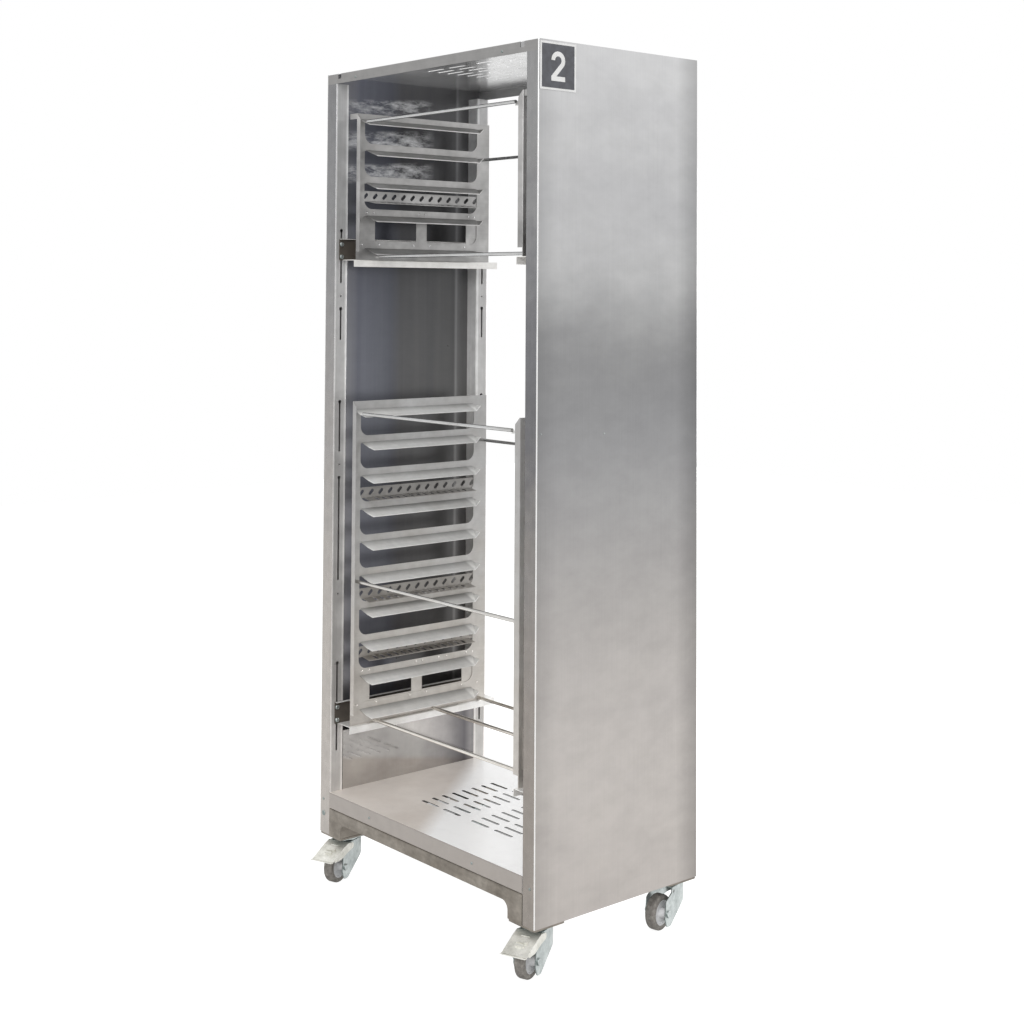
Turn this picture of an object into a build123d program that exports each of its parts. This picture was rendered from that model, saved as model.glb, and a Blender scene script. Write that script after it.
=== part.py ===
from build123d import *
import math
import os

# Oven rack trolley, in millimetres. It is drawn with the floor at z = 0 and the cabinet
# centred on x = y = 0, and is moved at the end so that the origin lies under the middle
# of the whole trolley with its castors. The open front faces -Y.

# Cabinet body
body_width = 774.0
body_depth = 473.0
panel_height = 1800.0
wheel_radius = 37.5
castor_head_height = 30.0
castor_height = 2 * wheel_radius + castor_head_height
panel_thickness = 3.0
panel_edge_rounding = 1.8
sheet = 1.5
bend = 1.5
post_width = 39.0
post_depth = 37.0

half_width = body_width / 2
half_depth = body_depth / 2
panel_bottom = castor_height
panel_top = panel_bottom + panel_height
panel_inner = half_width - panel_thickness
post_inner = half_width - post_width

# Top panel and bottom pan
top_lip = 24.0
lip_notch_width = 13.0
lip_notch_height = 13.0
lip_notch_inset = 52.0
pan_height = 98.0
pan_level = panel_bottom + pan_height
pan_lip = 37.0
pan_return = 18.0
vent_length = 60.0
vent_width = 8.0
vent_pitch = 29.5
vent_rows = 8
vent_inner_offset = 51.0
vent_outer_offset = 131.0
liner_thickness = 1.2
liner_height = 236.0
liner_top = panel_bottom + liner_height

# Chassis rails with their corner legs
chassis_level = pan_level - pan_lip
chassis_height = 27.0
chassis_sheet = 2.0
chassis_flange = 24.0
leg_width = 45.0
leg_return_depth = 78.0
leg_gusset_radius = 18.0
pad_size = 85.0
pad_thickness = 4.0
pad_corner = 8.0

# Keyhole slots in the inner faces of the posts, as heights above the panel's lower edge and
# as drops below its upper edge
slot_width = 5.0
keyhole_head = 9.0
slot_inset = 18.5
slot_heights = [(192.0, 401.0), (592.0, 839.0)]
slot_drops = [(904.0, 781.0), (638.0, 559.0), (502.0, 372.0)]
slot_spans = [(panel_bottom + low, panel_bottom + high) for low, high in slot_heights]
slot_spans += [(panel_top - low, panel_top - high) for low, high in slot_drops]
dot_heights = [560.0, 866.0]
dot_drop = 533.0
dot_levels = [panel_bottom + height for height in dot_heights] + [panel_top - dot_drop]
dot_size = 4.0

# Bearing rails that carry the two racks
lower_rail_height = 257.0
upper_rail_drop = 446.0
rail_levels = {"lower": panel_bottom + lower_rail_height, "upper": panel_top - upper_rail_drop}
rail_web_height = 50.0
rail_top_flange = 10.0
rail_shelf_reach = 51.0
rail_lip = 17.0
rail_front = 12.0
rail_shelf_front = 20.0
rail_rear = body_depth - rail_front
stud_heights = (7.0, 37.0)
stud_shank = 4.9
stud_hole = 5.0
stud_head = 11.0
stud_head_height = 3.5
stud_nut = 8.5
stud_nut_height = 2.5

# Tray racks
rack_to_post = 43.0
rack_half_width = post_inner - rack_to_post
rack_end_gaps = 63.0
rack_depth = body_depth - rack_end_gaps
rack_fronts = {"lower": 25.0, "upper": 29.0}
flange_width = 16.0
flange_foot = 9.0
slide_pitch = 78.5
lower_first_rise = 35.0
upper_first_rise = 28.0
top_slide_drop = 5.0
lower_slide = rail_levels["lower"] + lower_first_rise
upper_slide = rail_levels["upper"] + upper_first_rise
lower_levels = [lower_slide + slide_pitch * step for step in range(10)]
upper_levels = [upper_slide + slide_pitch * step for step in range(4)]
upper_levels.append(upper_slide + slide_pitch * 4 - top_slide_drop)
lower_wall_rise = 19.5
upper_wall_rise = 13.0
rack_tops = {"lower": lower_levels[-1] + lower_wall_rise,
             "upper": upper_levels[-1] + upper_wall_rise}
window_start = 24.0
window_end_gap = 40.0
window_length = rack_depth - window_start - window_end_gap
window_drop = 63.0
window_radius = 22.0
fold_groove_width = 1.4
fold_groove_depth = 0.5

# Slides: two sloping faces with the rear free corner bent up as a tray stop
slide_reach = (24.0, 38.0)
slide_drop = (9.0, 15.0)
slide_thickness = 1.6
slide_end_gap = 4.0
stop_length = 18.0
stop_root = 6.5
stop_rise = 12.0

# Slotted strips and backing plates behind the windows
strip_thickness = 1.2
strip_height = 24.0
strip_reach = 28.0
strip_drop = 5.0
strip_overlap = 12.0
strip_slot = (17.0, 8.0)
strip_slot_pitch = 28.0
ledge_slot = (21.0, 9.0)
ledge_slot_pitch = 20.5
ledge_end_gap = 35.0
strip_centres = {"upper": [upper_levels[1] + 46.5],
                 "lower": [lower_levels[1] + 55.5, lower_levels[3] + 35.0, lower_levels[6] + 37.5]}
plate_margin = 13.0
plate_windows = {"upper": upper_levels[1], "lower": lower_levels[1]}
plate_bridge = 32.0
plate_side = 33.0
plate_cutout_length = (window_length - plate_bridge) / 2 - plate_side
plate_cutout_height = 47.0
plate_cutout_base = 3.0

# Tie rods of the racks
rod_diameter = 8.0
rod_slide_overlap = 33.0
rod_under_overlap = 6.5
rods_on_slides = {"lower": [8.0], "upper": [9.0]}
rods_under_slides = {"lower": [47.0, 220.0], "upper": [39.0]}
front_rods = {"lower": [(12.0, 302.0)], "upper": []}
rear_rods = {"lower": [(20.0, 614.0), (20.0, -30.0)], "upper": [(24.0, 231.0)]}
lug_reach = 30.0
lug_height = 13.0

# Number plate on the right side panel
plate_size = 100.0
plate_front = 2.5
plate_gap_to_top = 4.0
plate_thickness = 1.0
border_width = 4.5
figure_thickness = 0.4
figure_height = 62.0
figure_width = 38.0
figure_stroke = 10.0
figure_bowl_end = 35.0
figure_foot_run = 14.0

# Castors
castor_inset = 45.0
castor_trail = 38.0
castor_yaw = {"front_left": 20.0, "front_right": 20.0, "rear_left": 12.0, "rear_right": 12.0}
tyre_inner = 27.0
tread_width = 23.0
tyre_rounding = 5.0
hub_boss_radius = 11.0
hub_boss_width = 44.0
hub_web = 8.0
hub_rim = 3.0
hub_step = 2.0
hub_recess = 1.0
axle_diameter = 8.0
axle_clearance = 0.05
fork_half_width = 26.0
fork_sheet = 2.5
mount_plate_size = 74.0
mount_plate_thickness = 2.5
race_radius = 27.0
race_height = 7.5
race_rounding = 2.0
crown_gap = 0.5
crown_front = 36.0
crown_back = 22.0
crown_corner = 17.0
crown_skirt = 28.5
leg_shoulder = 11.0
leg_neck_rise = 28.5
leg_neck_back = 8.0
leg_knee_back = 12.0
leg_knee_drop = 7.5
leg_foot_front = 10.0
leg_foot_back = 4.0
leg_foot_drop = 27.0
leg_foot_rounding = 5.0
bolt_head_radius = 7.5
bolt_head_height = 4.0
bolt_head_rounding = 2.0
king_pin_radius = 6.0
king_pin_head = 3.0
king_pin_play = 2.0

# Brake pedals of the front castors
pedal_half_width = 28.7
pedal_sheet = 2.0
pedal_pivot_radius = 3.0
pedal_pivot_y = -16.0
pedal_pivot_drop = 9.5
pedal_ear_radius = 7.0
pedal_root = 28.5
pedal_brow = (48.0, 6.0)
pedal_tip = (94.0, 26.5)
pedal_lip = (7.0, 1.5)
cheek_depth = 30.0
cheek_heel = 34.0
cheek_heel_drop = 21.0
cheek_low_start = 58.0
cheek_nose = 8.0
shoe_half_width = 10.0
shoe_span = (32.0, 46.0)
shoe_heights = (4.0, 11.0)
pedal_rib = (26.0, 10.0)
pedal_rib_place = (60.0, 12.2)
pedal_bar = (20.0, 5.0)
pedal_bar_place = (71.0, 17.0)
pedal_rib_height = 4.5

# Small fasteners: the inset from the side of the cabinet or the distance from its front, and
# the height above the panel's lower edge
rivet_radius = 3.0
rivet_height = 1.2
dome_share = 0.7
pan_rivet = (201.0, 79.0)
post_rivet = (15.0, 78.0)
lip_rivet_inset = 118.0
lip_rivet_drop = 15.0
side_dots = [(11.0, 991.0), (188.0, 983.0)]
post_bolt = (16.0, 45.0)


def block(x0, x1, y0, y1, z0, z1):
    """Rectangular block between two corners."""
    size = Box(abs(x1 - x0), abs(y1 - y0), abs(z1 - z0))
    return Pos((x0 + x1) / 2, (y0 + y1) / 2, (z0 + z1) / 2) * size


def left_of(shape):
    """Mirror image of a right-hand piece on the left side."""
    return mirror(shape, about=Plane.YZ)


def outline(points):
    """Closed flat face through the points."""
    return make_face(Polyline(*points, close=True))


def rounded_at(face, corners, radius):
    """Face with the corners nearest to the given points rounded."""
    chosen = [face.vertices().sort_by_distance((x, y, 0))[0] for x, y in corners]
    return fillet(chosen, radius)


def folded_section(points, thickness, inner_radius):
    """Cross-section of a folded sheet whose outer line is given; thickness lies to the left."""
    normals = []
    for (x0, y0), (x1, y1) in zip(points, points[1:]):
        length = math.hypot(x1 - x0, y1 - y0)
        normals.append((-(y1 - y0) / length, (x1 - x0) / length))
    inner = []
    for index, (x, y) in enumerate(points):
        before = normals[max(index - 1, 0)]
        after = normals[min(index, len(normals) - 1)]
        share = 1 + before[0] * after[0] + before[1] * after[1]
        step_x = (before[0] + after[0]) / share * thickness
        step_y = (before[1] + after[1]) / share * thickness
        inner.append((x + step_x, y + step_y))
    face = outline(points + inner[::-1])
    for index in range(1, len(points) - 1):
        before = normals[index - 1]
        after = normals[index]
        turns_left = before[0] * after[1] - before[1] * after[0] > 0
        wide = points[index] if turns_left else inner[index]
        tight = inner[index] if turns_left else points[index]
        face = rounded_at(face, [wide], inner_radius + thickness)
        face = rounded_at(face, [tight], inner_radius)
    return face


def along_y(section, y0, y1):
    """Prism of a section drawn in x and z, between two y positions."""
    placed = Pos(0, y0, 0) * (Plane.XZ * section)
    return extrude(placed, amount=y1 - y0, dir=(0, 1, 0))


def along_x(section, x0, x1):
    """Prism of a section drawn in y and z, between two x positions."""
    placed = Pos(x0, 0, 0) * (Plane.YZ * section)
    return extrude(placed, amount=x1 - x0, dir=(1, 0, 0))


def rod_x(x0, x1, y, z, radius):
    """Round bar along x."""
    bar = Rot(0, 90, 0) * Cylinder(radius, abs(x1 - x0))
    return Pos((x0 + x1) / 2, y, z) * bar


def keep(name, shape):
    """Remember one node, as the list of its separate solids."""
    items = shape if isinstance(shape, list) else [shape]
    nodes[name] = [solid for item in items for solid in item.solids()]


def footprint_centre():
    """Middle of the whole trolley's bounding box, seen from above."""
    boxes = [solid.bounding_box() for solids in nodes.values() for solid in solids]
    x = (min(box.min.X for box in boxes) + max(box.max.X for box in boxes)) / 2
    y = (min(box.min.Y for box in boxes) + max(box.max.Y for box in boxes)) / 2
    return x, y


def export_nodes():
    """Write every node with the origin at the floor, under the middle of the trolley."""
    x, y = footprint_centre()
    for name, solids in nodes.items():
        placed = [Pos(-x, -y, 0) * solid for solid in solids]
        body = placed[0] if len(placed) == 1 else Compound(children=placed)
        body.label = name
        export_step(body, "parts/" + name + ".step")


def front_back(distance):
    """Position at a distance behind the front plane of the cabinet."""
    return distance - half_depth


# Side panels and corner posts

def side_panel():
    panel = block(panel_inner, half_width, -half_depth, half_depth, panel_bottom, panel_top)
    edges = panel.edges().filter_by(Axis.Z).group_by(Axis.X)[-1]
    return fillet(edges, panel_edge_rounding)


def keyholes():
    """Cutters for the slots and small holes in the front post's inner face."""
    cutters = []
    y = slot_inset - half_depth
    for low, high in slot_spans:
        slot = Pos(y, (low + high) / 2) * SlotOverall(high - low, slot_width, rotation=90)
        cutters.append(along_x(slot, post_inner - sheet, post_inner + 2 * sheet))
        head_z = high - keyhole_head / 2
        cutters.append(rod_x(post_inner - sheet, post_inner + 2 * sheet, y, head_z,
                             keyhole_head / 2))
    for level in dot_levels:
        cutters.append(rod_x(post_inner - sheet, post_inner + 2 * sheet, y, level, dot_size / 2))
    return cutters


def corner_post():
    """Front post on the right side, a channel that opens towards the side panel."""
    face_y = -half_depth
    fold_y = post_depth - half_depth
    points = [(panel_inner, fold_y), (post_inner, fold_y), (post_inner, face_y),
              (panel_inner, face_y)]
    section = folded_section(points, sheet, bend)
    post = Pos(0, 0, panel_bottom) * extrude(section, amount=panel_height - top_lip)
    return post - keyholes()


def liner():
    edge = half_depth - post_depth
    return block(post_inner, post_inner + liner_thickness, -edge, edge, chassis_level, liner_top)


def vents(level):
    """Cutters for the four columns of long vent slots."""
    cutters = []
    for row in range(vent_rows):
        y = (row - (vent_rows - 1) / 2) * vent_pitch
        for offset in (vent_inner_offset, vent_outer_offset):
            for sign in (-1, 1):
                slot = Pos(sign * offset, y, level - 2 * sheet)
                cutters.append(slot * extrude(SlotOverall(vent_length, vent_width), amount=4 * sheet))
    return cutters


def top_panel():
    low = panel_top - top_lip
    points = [(half_depth, low), (half_depth, panel_top), (-half_depth, panel_top),
              (-half_depth, low)]
    panel = along_x(folded_section(points, sheet, bend), -panel_inner, panel_inner)
    half_notch = lip_notch_width / 2
    notches = []
    for sign in (-1, 1):
        middle = sign * (half_width - lip_notch_inset)
        notches.append(block(middle - half_notch, middle + half_notch, -half_depth - sheet,
                             2 * sheet - half_depth, panel_top - lip_notch_height,
                             panel_top + sheet))
    return panel - vents(panel_top) - notches


def bottom_pan():
    low = pan_level - pan_lip
    points = [(half_depth - pan_return, low), (half_depth, low), (half_depth, pan_level),
              (-half_depth, pan_level), (-half_depth, low), (pan_return - half_depth, low)]
    pan = along_x(folded_section(points, sheet, bend), -post_inner, post_inner)
    inset = half_depth - sheet - bend
    flange = block(post_inner - sheet, post_inner, -inset, inset, low, pan_level - sheet / 2)
    pan = pan + [flange, left_of(flange)]
    return pan - vents(pan_level)


def chassis_rail():
    """Front rail with its two corner legs; its top flange carries the pan."""
    rail_bottom = chassis_level - chassis_height
    points = [(chassis_flange - half_depth, chassis_level), (-half_depth, chassis_level),
              (-half_depth, panel_bottom)]
    rail = along_x(folded_section(points, chassis_sheet, bend), -post_inner, post_inner)
    leg_inner = post_inner - leg_width
    gap = outline([(-leg_inner, panel_bottom - leg_width), (leg_inner, panel_bottom - leg_width),
                   (leg_inner, rail_bottom), (-leg_inner, rail_bottom)])
    gap = rounded_at(gap, [(leg_inner, rail_bottom)], leg_gusset_radius)
    gap = rounded_at(gap, [(-leg_inner, rail_bottom)], leg_gusset_radius)
    rail = rail - along_y(gap, -half_depth - sheet, 2 * chassis_sheet - half_depth)
    web = block(leg_inner, leg_inner + chassis_sheet, chassis_sheet / 2 - half_depth,
                leg_return_depth - half_depth, panel_bottom, rail_bottom)
    return rail + [web, left_of(web)]


def corner_pads():
    """Four plates under the corners that carry the castors."""
    pads = []
    for sign_x in (-1, 1):
        for sign_y in (-1, 1):
            x = sign_x * (half_width - pad_size / 2)
            y = sign_y * (half_depth - pad_size / 2)
            pad = extrude(RectangleRounded(pad_size, pad_size, pad_corner), amount=pad_thickness)
            pads.append(Pos(x, y, panel_bottom - pad_thickness) * pad)
    return pads


def bearing_rail(level):
    """Right-hand rail: a web against the posts and a shelf with a lip under the rack."""
    shelf_end = post_inner - rail_shelf_reach
    low = level - sheet
    points = [(shelf_end, level - rail_lip), (shelf_end, low), (post_inner, low),
              (post_inner, level + rail_web_height),
              (post_inner - rail_top_flange, level + rail_web_height)]
    section = folded_section(points, sheet, bend)
    rail = along_y(section, front_back(rail_front), front_back(rail_rear))
    web_side = post_inner - sheet - bend
    cut_back = block(shelf_end - 2 * sheet, web_side, front_back(rail_front) - sheet,
                     front_back(rail_shelf_front), level - rail_lip - sheet, level + bend)
    rail = rail - cut_back
    holes = []
    for sign in (-1, 1):
        for height in stud_heights:
            y = sign * (half_depth - slot_inset)
            holes.append(rod_x(post_inner - 2 * sheet, post_inner + sheet, y, level + height,
                               stud_hole / 2))
    return rail - holes


def rail_studs():
    """Shoulder studs that hook the rails into the keyholes of the posts."""
    head_face = post_inner - sheet
    nut_face = post_inner + sheet
    head = Cylinder(stud_head / 2, stud_head_height)
    head = fillet(head.edges().sort_by(Axis.Z)[-1], stud_head_height * dome_share)
    head = Pos(head_face - stud_head_height / 2, 0, 0) * Rot(0, -90, 0) * head
    shank = rod_x(head_face, nut_face, 0, 0, stud_shank / 2)
    nut = rod_x(nut_face, nut_face + stud_nut_height, 0, 0, stud_nut / 2)
    stud = head + shank + nut
    studs = []
    for level in rail_levels.values():
        for sign in (-1, 1):
            for height in stud_heights:
                placed = Pos(0, sign * (half_depth - slot_inset), level + height) * stud
                studs.append(placed)
                studs.append(left_of(placed))
    return studs


# Tray racks

def wall_windows(levels, front):
    """Cutters for the openings below every slide but the lowest."""
    cutters = []
    start = front + window_start
    end = start + window_length
    for below, level in zip(levels, levels[1:]):
        low = below + slide_pitch - window_drop
        high = level - slide_thickness - sheet / 2
        window = outline([(start, low), (end, low), (end, high), (start, high)])
        window = rounded_at(window, [(start, low)], window_radius)
        window = rounded_at(window, [(end, low)], window_radius)
        cutters.append(along_x(window, rack_half_width - 2 * sheet, rack_half_width + sheet))
    return cutters


def rack_wall(which, levels):
    """Right-hand wall of a rack with its front flange, windows and fold grooves."""
    front = front_back(rack_fronts[which])
    back = front + rack_depth
    bottom = rail_levels[which]
    top = rack_tops[which]
    flange_end = rack_half_width - flange_width
    points = [(flange_end, front), (rack_half_width, front), (rack_half_width, back)]
    wall = extrude(folded_section(points, sheet, bend), amount=top - bottom)
    wall = Pos(0, 0, bottom) * wall
    wall_inner = rack_half_width - sheet
    foot = block(flange_end - sheet, wall_inner, front - sheet, front + sheet + bend,
                 bottom - sheet, levels[0] - flange_foot)
    mitre = outline([(flange_end - sheet, top - flange_width), (flange_end - sheet, top + sheet),
                     (wall_inner + sheet, top + sheet)])
    wall = wall - foot - along_y(mitre, front - sheet, front + sheet)
    grooves = []
    for level in levels:
        grooves.append(block(wall_inner - sheet, wall_inner + fold_groove_depth,
                             front + flange_width, back + sheet, level + fold_groove_depth,
                             level + fold_groove_depth + fold_groove_width))
    wall = wall - wall_windows(levels, front) - grooves
    if which == "upper":
        wall = wall + block(rack_half_width - sheet / 2, rack_half_width + lug_reach,
                            front + bend + sheet, front + bend + 2 * sheet, top - lug_height, top)
    return wall


def facet(points):
    """Flat sloping piece of a slide, as thick downwards as the sheet."""
    face = Face(Wire.make_polygon([Vector(*point) for point in points], close=True))
    return extrude(face, amount=slide_thickness, dir=(0, 0, -1))


def slide(level, start, end):
    """Right-hand tray slide between two y positions."""
    root = rack_half_width - sheet
    fold_x = root - slide_reach[0]
    free_x = root - slide_reach[1]
    fold_z = level - slide_drop[0]
    free_z = level - slide_drop[1]
    corner_x = root - stop_root
    corner_z = level - slide_drop[0] * stop_root / slide_reach[0]
    share = (slide_reach[0] - stop_root) / (slide_reach[1] - stop_root)
    corner = (corner_x, end, corner_z)
    middle = (fold_x, end - share * stop_length, fold_z)
    free_end = (free_x, end - stop_length, free_z)
    raised = (free_x + sheet, end - slide_end_gap, free_z + stop_rise)
    fold_start = (fold_x, start + slide_end_gap / 2, fold_z)
    free_start = (free_x, start + 2 * slide_end_gap, free_z)
    upper = facet([(root, start, level), (root, end, level), corner, middle, fold_start])
    lower = facet([fold_start, middle, free_end, free_start])
    stop = [facet([corner, raised, middle]), facet([middle, raised, free_end])]
    return upper + lower + stop


def rack_slides(which, levels):
    front = front_back(rack_fronts[which])
    start = front + window_start + slide_end_gap
    end = front + window_start + window_length - slide_end_gap
    slides = [slide(level, start, end) for level in levels[:-1]]
    slides.append(slide(levels[-1], front + sheet + bend, end))
    return slides


def evenly_spaced(middle, pitch, room):
    """Positions at a pitch on both sides of the middle, as many as the room holds."""
    count = int(room / pitch) + 1
    return [middle + (index - (count - 1) / 2) * pitch for index in range(count)]


def slotted_strips(which):
    """Strips behind the windows: a web with diagonal slots over a slotted ledge."""
    front = front_back(rack_fronts[which])
    start = front + window_start
    end = start + window_length
    middle = (start + end) / 2
    strips = []
    for centre in strip_centres[which]:
        low = centre - strip_height / 2
        points = [(rack_half_width, centre + strip_height / 2), (rack_half_width, low),
                  (rack_half_width - strip_reach, low - strip_drop)]
        section = folded_section(points, strip_thickness, strip_thickness / 2)
        strip = along_y(section, start - strip_overlap, end + strip_overlap)
        for end_low, end_high in ((start - 2 * strip_overlap, start + strip_overlap),
                                  (end - strip_overlap, end + 2 * strip_overlap)):
            strip = strip - block(rack_half_width - 2 * strip_reach, rack_half_width, end_low,
                                  end_high, low - 2 * strip_drop, low + strip_height)
        cutters = []
        for y in evenly_spaced(middle, strip_slot_pitch, window_length):
            slot = Pos(y, centre) * SlotOverall(*strip_slot, rotation=45)
            cutters.append(along_x(slot, rack_half_width - sheet, rack_half_width + 2 * sheet))
        for y in evenly_spaced(middle, ledge_slot_pitch, window_length - 2 * ledge_end_gap):
            slot = extrude(SlotOverall(*ledge_slot), amount=4 * strip_drop)
            cutters.append(Pos(rack_half_width - strip_reach / 2, y, low - 2.5 * strip_drop) * slot)
        strips.append(strip - cutters)
    return strips + [left_of(strip) for strip in strips]


def backing_plates(which, below):
    """Plates behind the lowest window, each with two rectangular cut-outs."""
    front = front_back(rack_fronts[which])
    start = front + window_start
    end = start + window_length
    low = below + slide_pitch - window_drop
    top = plate_windows[which] + plate_margin / 2
    plate = block(rack_half_width, rack_half_width + strip_thickness, start - plate_margin,
                  end + plate_margin, low - plate_margin, top)
    for sign in (-1, 1):
        middle = (start + end) / 2 + sign * (plate_bridge + plate_cutout_length) / 2
        base = low + plate_cutout_base
        plate = plate - block(rack_half_width - sheet, rack_half_width + 2 * sheet,
                              middle - plate_cutout_length / 2, middle + plate_cutout_length / 2,
                              base, base + plate_cutout_height)
    return [plate, left_of(plate)]


def tie_rod(y, level, half_length):
    return rod_x(-half_length, half_length, y, level, rod_diameter / 2)


def rod_on_slide(y, level):
    """Rod that lies on the free edges of a pair of slides."""
    inner = rack_half_width - sheet - rod_slide_overlap
    slope = (slide_drop[1] - slide_drop[0]) / (slide_reach[1] - slide_reach[0])
    contact = level - slide_drop[0] - slope * (rod_slide_overlap - slide_reach[0])
    return tie_rod(y, contact + rod_diameter / 2, inner)


def rod_under_slide(y, level):
    """Rod that runs under the free edges of a pair of slides."""
    underside = level - slide_drop[1] - slide_thickness
    half_length = rack_half_width - sheet - slide_reach[1] + rod_under_overlap
    return tie_rod(y, underside - rod_diameter / 2, half_length)


def rack_rods(which, levels):
    """Rods at distances from the rack's front or rear edge and rises above its lowest slide."""
    front = front_back(rack_fronts[which])
    rods = [rod_on_slide(front + distance, levels[-1]) for distance in rods_on_slides[which]]
    rods += [rod_under_slide(front + distance, levels[0]) for distance in rods_under_slides[which]]
    between = [(front + distance, rise) for distance, rise in front_rods[which]]
    between += [(front + rack_depth - distance, rise) for distance, rise in rear_rods[which]]
    for y, rise in between:
        rods.append(tie_rod(y, levels[0] + rise, rack_half_width - sheet))
    return rods


# Number plate

def number_plate():
    front = plate_front - half_depth
    top = panel_top - plate_gap_to_top
    return block(half_width, half_width + plate_thickness, front, front + plate_size,
                 top - plate_size, top)


def number_figure():
    """White border and a plain figure two."""
    y = plate_front - half_depth + plate_size / 2
    z = panel_top - plate_gap_to_top - plate_size / 2
    opening = plate_size - 2 * border_width
    border = Rectangle(plate_size, plate_size) - Rectangle(opening, opening)
    radius = figure_width / 2
    arc_centre = figure_height / 2 - radius
    ring = Pos(0, arc_centre) * (Circle(radius) - Circle(radius - figure_stroke))
    angle = math.radians(figure_bowl_end)
    outer_end = (radius * math.cos(angle), arc_centre - radius * math.sin(angle))
    inner_radius = radius - figure_stroke
    inner_end = (inner_radius * math.cos(angle), arc_centre - inner_radius * math.sin(angle))
    base = figure_stroke - figure_height / 2
    lower_left = outline([(-2 * radius, arc_centre), (0, arc_centre),
                          (outer_end[0] * 2, arc_centre - 2 * radius * math.sin(angle)),
                          (0, -figure_height), (-2 * radius, -figure_height)])
    ring = ring - lower_left
    diagonal = outline([inner_end, outer_end, (figure_foot_run - radius, base), (-radius, base)])
    foot = Pos(0, (base - figure_height / 2) / 2) * Rectangle(figure_width, figure_stroke)
    figure = ring + diagonal + foot
    face = half_width + plate_thickness
    placed = [along_x(Pos(y, z) * item, face, face + figure_thickness) for item in (border, figure)]
    return placed


# Castors, drawn with the swivel axis on z and the wheel trailing towards -y

def rounded_disc(radius, height, rounding):
    disc = Cylinder(radius, height)
    return fillet(disc.edges().filter_by(GeomType.CIRCLE), rounding)


def castor_mount():
    """Top plate, swivel race and king pin."""
    plate_low = panel_bottom - pad_thickness - mount_plate_thickness
    plate = extrude(RectangleRounded(mount_plate_size, mount_plate_size, pad_corner),
                    amount=mount_plate_thickness)
    race_low = plate_low - race_height
    race = Pos(0, 0, race_low + race_height / 2) * rounded_disc(race_radius, race_height, race_rounding)
    crown_top = race_low - crown_gap
    pin_low = crown_top - fork_sheet - king_pin_play
    pin = Pos(0, 0, (race_low + pin_low) / 2) * Cylinder(king_pin_radius, race_low - pin_low)
    head = Pos(0, 0, pin_low - king_pin_head / 2) * Cylinder(king_pin_radius * 1.5, king_pin_head)
    return Pos(0, 0, plate_low) * plate + race + pin + head


def crown_level():
    return panel_bottom - pad_thickness - mount_plate_thickness - race_height - crown_gap


def fork_shell(side, front, corner, top):
    """Block with two rounded front corners, from the floor up."""
    face = outline([(-side, front), (-side, -half_depth), (side, -half_depth), (side, front)])
    face = rounded_at(face, [(-side, front)], corner)
    face = rounded_at(face, [(side, front)], corner)
    return extrude(face, amount=top)


def castor_fork():
    """Drawn fork: a crown under the race, a rounded front wall and two tapering legs."""
    top = crown_level()
    foot = wheel_radius - leg_foot_drop
    toe = (leg_foot_front - castor_trail, foot)
    heel = (-leg_foot_back - castor_trail, foot)
    knee = (-leg_knee_back - castor_trail, wheel_radius - leg_knee_drop)
    neck = (-leg_neck_back - castor_trail, wheel_radius + leg_neck_rise)
    skirt = (crown_front, top - crown_skirt)
    leg = outline([(crown_front, top), skirt, toe, heel, knee, neck,
                   (-crown_back, top - leg_shoulder), (-crown_back, top)])
    leg = rounded_at(leg, [toe], leg_foot_rounding)
    leg = rounded_at(leg, [heel], leg_foot_rounding)
    leg = rounded_at(leg, [skirt], crown_corner)
    leg = rounded_at(leg, [knee], leg_knee_back)
    leg = rounded_at(leg, [neck], leg_neck_back)
    shell = fork_shell(fork_half_width, crown_front, crown_corner, top)
    shell = fillet(shell.edges().group_by(Axis.Z)[-1], fork_sheet * dome_share)
    hollow = fork_shell(fork_half_width - fork_sheet, crown_front - fork_sheet,
                        crown_corner - fork_sheet, top - fork_sheet)
    fork = (shell - hollow) & along_x(leg, -fork_half_width, fork_half_width)
    fork = fork - Cylinder(king_pin_radius + axle_clearance, 4 * panel_bottom)
    hole = axle_diameter / 2 + axle_clearance
    fork = fork - rod_x(-half_width, half_width, -castor_trail, wheel_radius, hole)
    pivot_hole = pedal_pivot_radius + axle_clearance
    return fork - rod_x(-half_width, half_width, pedal_pivot_y, top - pedal_pivot_drop, pivot_hole)


def around_axle(profile):
    """Turned piece on the wheel axle; the profile is drawn as axial and radial distance."""
    ring = revolve(profile, axis=Axis.X, revolution_arc=360)
    return Pos(0, -castor_trail, wheel_radius) * ring


def castor_tyre():
    half = tread_width / 2
    profile = outline([(-half, tyre_inner), (half, tyre_inner), (half, wheel_radius),
                       (-half, wheel_radius)])
    profile = rounded_at(profile, [(half, wheel_radius)], tyre_rounding)
    profile = rounded_at(profile, [(-half, wheel_radius)], tyre_rounding)
    return around_axle(profile)


def castor_core():
    rim = tread_width / 2 - hub_recess
    boss = hub_boss_width / 2
    bore = axle_diameter / 2 + axle_clearance
    points = [(rim, tyre_inner), (rim, tyre_inner - hub_rim), (hub_web, tyre_inner - hub_rim - hub_step),
              (hub_web, hub_boss_radius), (boss, hub_boss_radius - hub_step), (boss, bore)]
    points = points + [(-x, radius) for x, radius in points[::-1]]
    return around_axle(outline(points))


def castor_axle():
    end = fork_half_width + bolt_head_height
    bolt = rod_x(-end, end, 0, 0, axle_diameter / 2)
    head = rod_x(fork_half_width, end, 0, 0, bolt_head_radius)
    head = fillet(head.edges().filter_by(GeomType.CIRCLE).sort_by(Axis.X)[-1], bolt_head_rounding)
    nut = extrude(Plane.YZ * RegularPolygon(bolt_head_radius, 6), amount=bolt_head_height)
    nut = Pos(-end, 0, 0) * nut
    return Pos(0, -castor_trail, wheel_radius) * (bolt + head + nut)


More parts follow.
